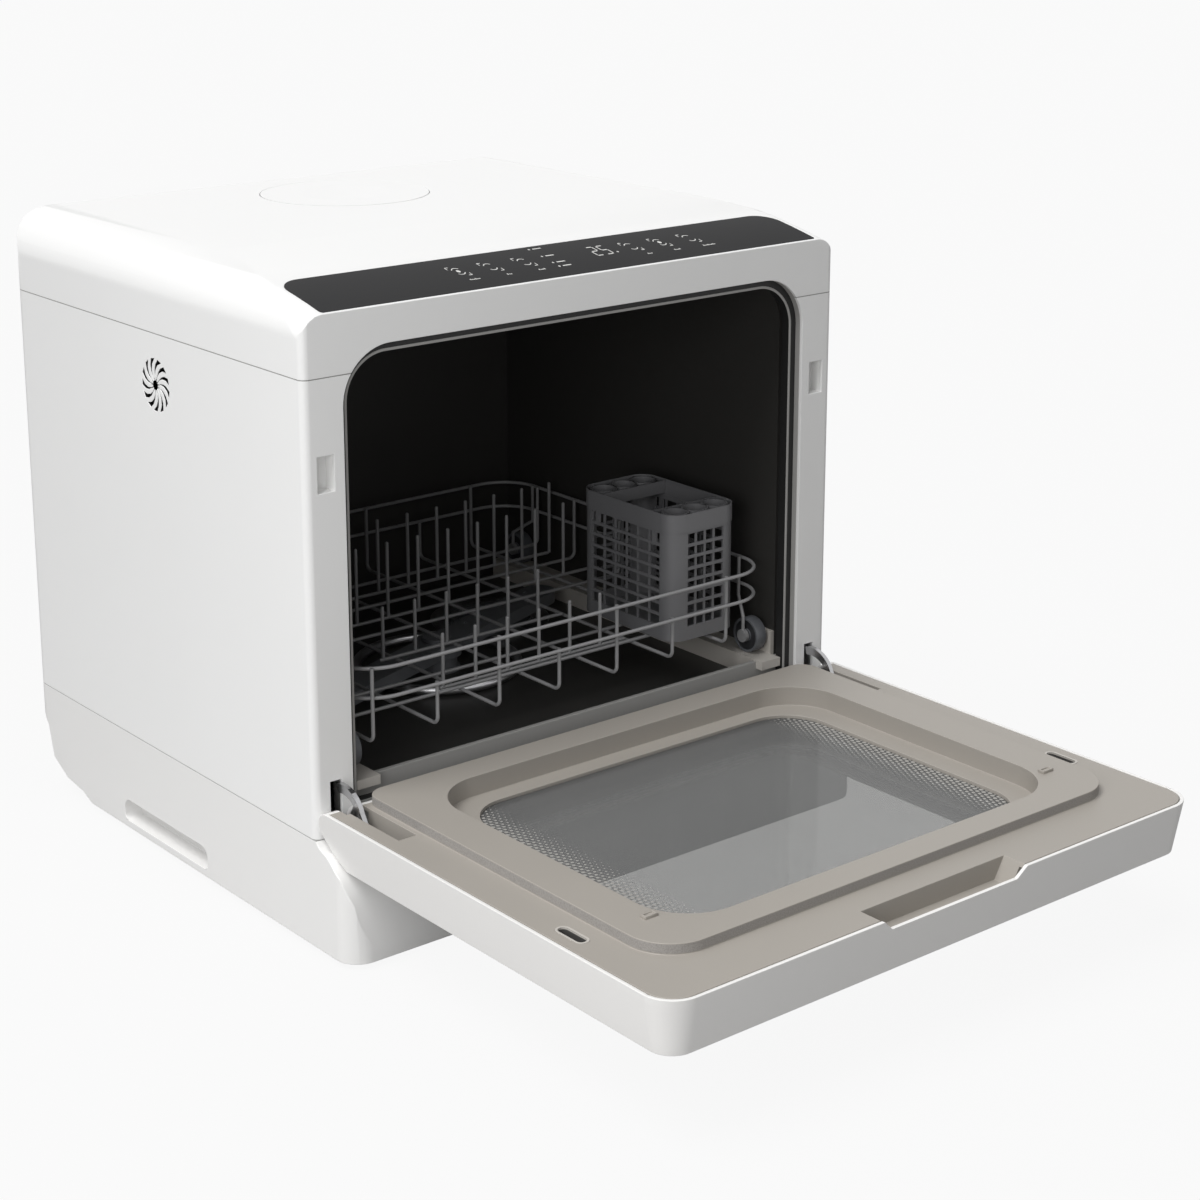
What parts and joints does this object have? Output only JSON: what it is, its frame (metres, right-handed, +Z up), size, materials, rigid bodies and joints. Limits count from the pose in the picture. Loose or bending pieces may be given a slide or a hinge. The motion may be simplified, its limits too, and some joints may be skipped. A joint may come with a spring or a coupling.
{
  "type": "countertop_dishwasher",
  "caption": "Countertop dishwasher with drop-down window door, wheeled pull-out wire rack, cutlery basket, spray arm and top water fill",
  "frame": {"origin": "On the floor, under the middle of the machine's outline with the door open and the rack home.", "axes": "+X is the machine's right seen from the front, +Y runs from the door to the rear, +Z is up."},
  "size_m": [0.42, 0.682, 0.41],
  "materials": {
    "casing_white": "semi-gloss white shell",
    "rear_sheet": "light grey powder coat",
    "foot_rubber": "matt",
    "seal_rubber": "matt black silicone",
    "strip_glass": "gloss black tinted glass",
    "circuit_board": "green laminate",
    "frame_grey": "fine-grained warm grey",
    "liner_grey": "fine-grained warm grey",
    "tub_dark": "near-black satin",
    "water_plastic": "translucent natural plastic",
    "pump_plastic": "dark glass-filled plastic",
    "spray_plastic": "satin grey",
    "hose_rubber": "black",
    "steel": "satin",
    "hinge_chrome": "bright plated",
    "window_glass": "clear tempered",
    "rack_wire": "grey nylon-coated wire",
    "wheel_grey": "dark blue-grey",
    "basket_grey": "dark grey"
  },
  "bodies": {
    "cabinet": {"left_side": "casing_white", "right_side": "casing_white", "top_cover": "casing_white", "rear_panel": "rear_sheet", "base_tray": "casing_white", "feet": "foot_rubber", "control_glass": "strip_glass", "control_board": "circuit_board", "mouth_frame": "frame_grey", "tub": "tub_dark", "tub_gasket": "seal_rubber", "tub_runners": "tub_dark", "fill_funnel": "water_plastic", "water_tank": "water_plastic", "sump": "pump_plastic", "filter_plate": "steel", "wash_pump": "pump_plastic", "drain_pump": "pump_plastic", "heater": "steel", "wash_hose": "hose_rubber", "drain_hose": "hose_rubber", "supply_hose": "hose_rubber", "spray_hub": "spray_plastic", "hub_cap": "spray_plastic", "level_switch": "pump_plastic", "fan_housing": "pump_plastic", "power_board": "circuit_board", "latch_pockets": "frame_grey", "hinge_brackets": "steel", "hinge_pins": "steel", "water_inlet": "water_plastic", "drain_spigot": "pump_plastic", "cord_gland": "pump_plastic", "rear_screws": "steel"},
    "door": {"door_panel": "casing_white", "door_liner": "liner_grey", "inner_glass": "window_glass", "outer_glass": "window_glass", "slot_rims": "frame_grey", "hinge_arms": "hinge_chrome", "hinge_screws": "steel"},
    "rack": {"rack_rails": "rack_wire", "rack_cross_wires": "rack_wire", "rack_long_wires": "rack_wire", "bowl_tines": "rack_wire", "plate_tines": "rack_wire", "wheel_brackets": "rack_wire"},
    "front_left_wheel": {"front_left_wheel": "wheel_grey"},
    "front_right_wheel": {"front_right_wheel": "wheel_grey"},
    "middle_left_wheel": {"middle_left_wheel": "wheel_grey"},
    "middle_right_wheel": {"middle_right_wheel": "wheel_grey"},
    "rear_left_wheel": {"rear_left_wheel": "wheel_grey"},
    "rear_right_wheel": {"rear_right_wheel": "wheel_grey"},
    "cutlery_basket_body": {"cutlery_basket": "basket_grey"},
    "spray_arm_body": {"spray_arm": "spray_plastic"},
    "fill_lid_body": {"fill_lid": "casing_white"},
    "filter_cup_body": {"filter_cup": "spray_plastic"},
    "fan_rotor_body": {"fan_rotor": "pump_plastic"}
  },
  "joints": [
    {"name": "door_hinge", "type": "hinge", "parent": "cabinet", "child": "door", "pos_m": [0, -0.0325, 0.0835], "axis": [1, 0, 0], "range_deg": [-90, 0]},
    {"name": "rack_slide", "type": "slide", "parent": "cabinet", "child": "rack", "axis": [0, -1, 0], "range_m": [0, 0.259]},
    {"name": "front_left_wheel_roll", "type": "hinge", "parent": "rack", "child": "front_left_wheel", "pos_m": [-0.168, 0.01, 0.1135], "axis": [1, 0, 0], "range_deg": [0, 1190]},
    {"name": "front_right_wheel_roll", "type": "hinge", "parent": "rack", "child": "front_right_wheel", "pos_m": [0.168, 0.01, 0.1135], "axis": [1, 0, 0], "range_deg": [0, 1190]},
    {"name": "middle_left_wheel_roll", "type": "hinge", "parent": "rack", "child": "middle_left_wheel", "pos_m": [-0.168, 0.099, 0.1135], "axis": [1, 0, 0], "range_deg": [0, 1190]},
    {"name": "middle_right_wheel_roll", "type": "hinge", "parent": "rack", "child": "middle_right_wheel", "pos_m": [0.168, 0.099, 0.1135], "axis": [1, 0, 0], "range_deg": [0, 1190]},
    {"name": "rear_left_wheel_roll", "type": "hinge", "parent": "rack", "child": "rear_left_wheel", "pos_m": [-0.168, 0.273, 0.1135], "axis": [1, 0, 0], "range_deg": [0, 1190]},
    {"name": "rear_right_wheel_roll", "type": "hinge", "parent": "rack", "child": "rear_right_wheel", "pos_m": [0.168, 0.273, 0.1135], "axis": [1, 0, 0], "range_deg": [0, 1190]},
    {"name": "basket_lift", "type": "slide", "parent": "rack", "child": "cutlery_basket_body", "axis": [0, 0, 1], "range_m": [0, 0.1]},
    {"name": "spray_spin", "type": "hinge", "parent": "cabinet", "child": "spray_arm_body", "pos_m": [0, 0.1485, 0.1035], "axis": [0, 0, 1], "continuous": true},
    {"name": "lid_lift", "type": "slide", "parent": "cabinet", "child": "fill_lid_body", "axis": [0, 0, 1], "range_m": [0, 0.05]},
    {"name": "filter_twist", "type": "hinge", "parent": "cabinet", "child": "filter_cup_body", "pos_m": [0.092, 0.2105, 0.09], "axis": [0, 0, 1], "range_deg": [0, 45]},
    {"name": "fan_spin", "type": "hinge", "parent": "cabinet", "child": "fan_rotor_body", "pos_m": [-0.202, 0.149, 0.322], "axis": [1, 0, 0], "continuous": true}
  ],
  "couplings": [
    {"joint": "front_left_wheel_roll", "follows": "rack_slide", "rad_per_m": 80},
    {"joint": "front_right_wheel_roll", "follows": "rack_slide", "rad_per_m": 80},
    {"joint": "middle_left_wheel_roll", "follows": "rack_slide", "rad_per_m": 80},
    {"joint": "middle_right_wheel_roll", "follows": "rack_slide", "rad_per_m": 80},
    {"joint": "rear_left_wheel_roll", "follows": "rack_slide", "rad_per_m": 80},
    {"joint": "rear_right_wheel_roll", "follows": "rack_slide", "rad_per_m": 80}
  ]
}
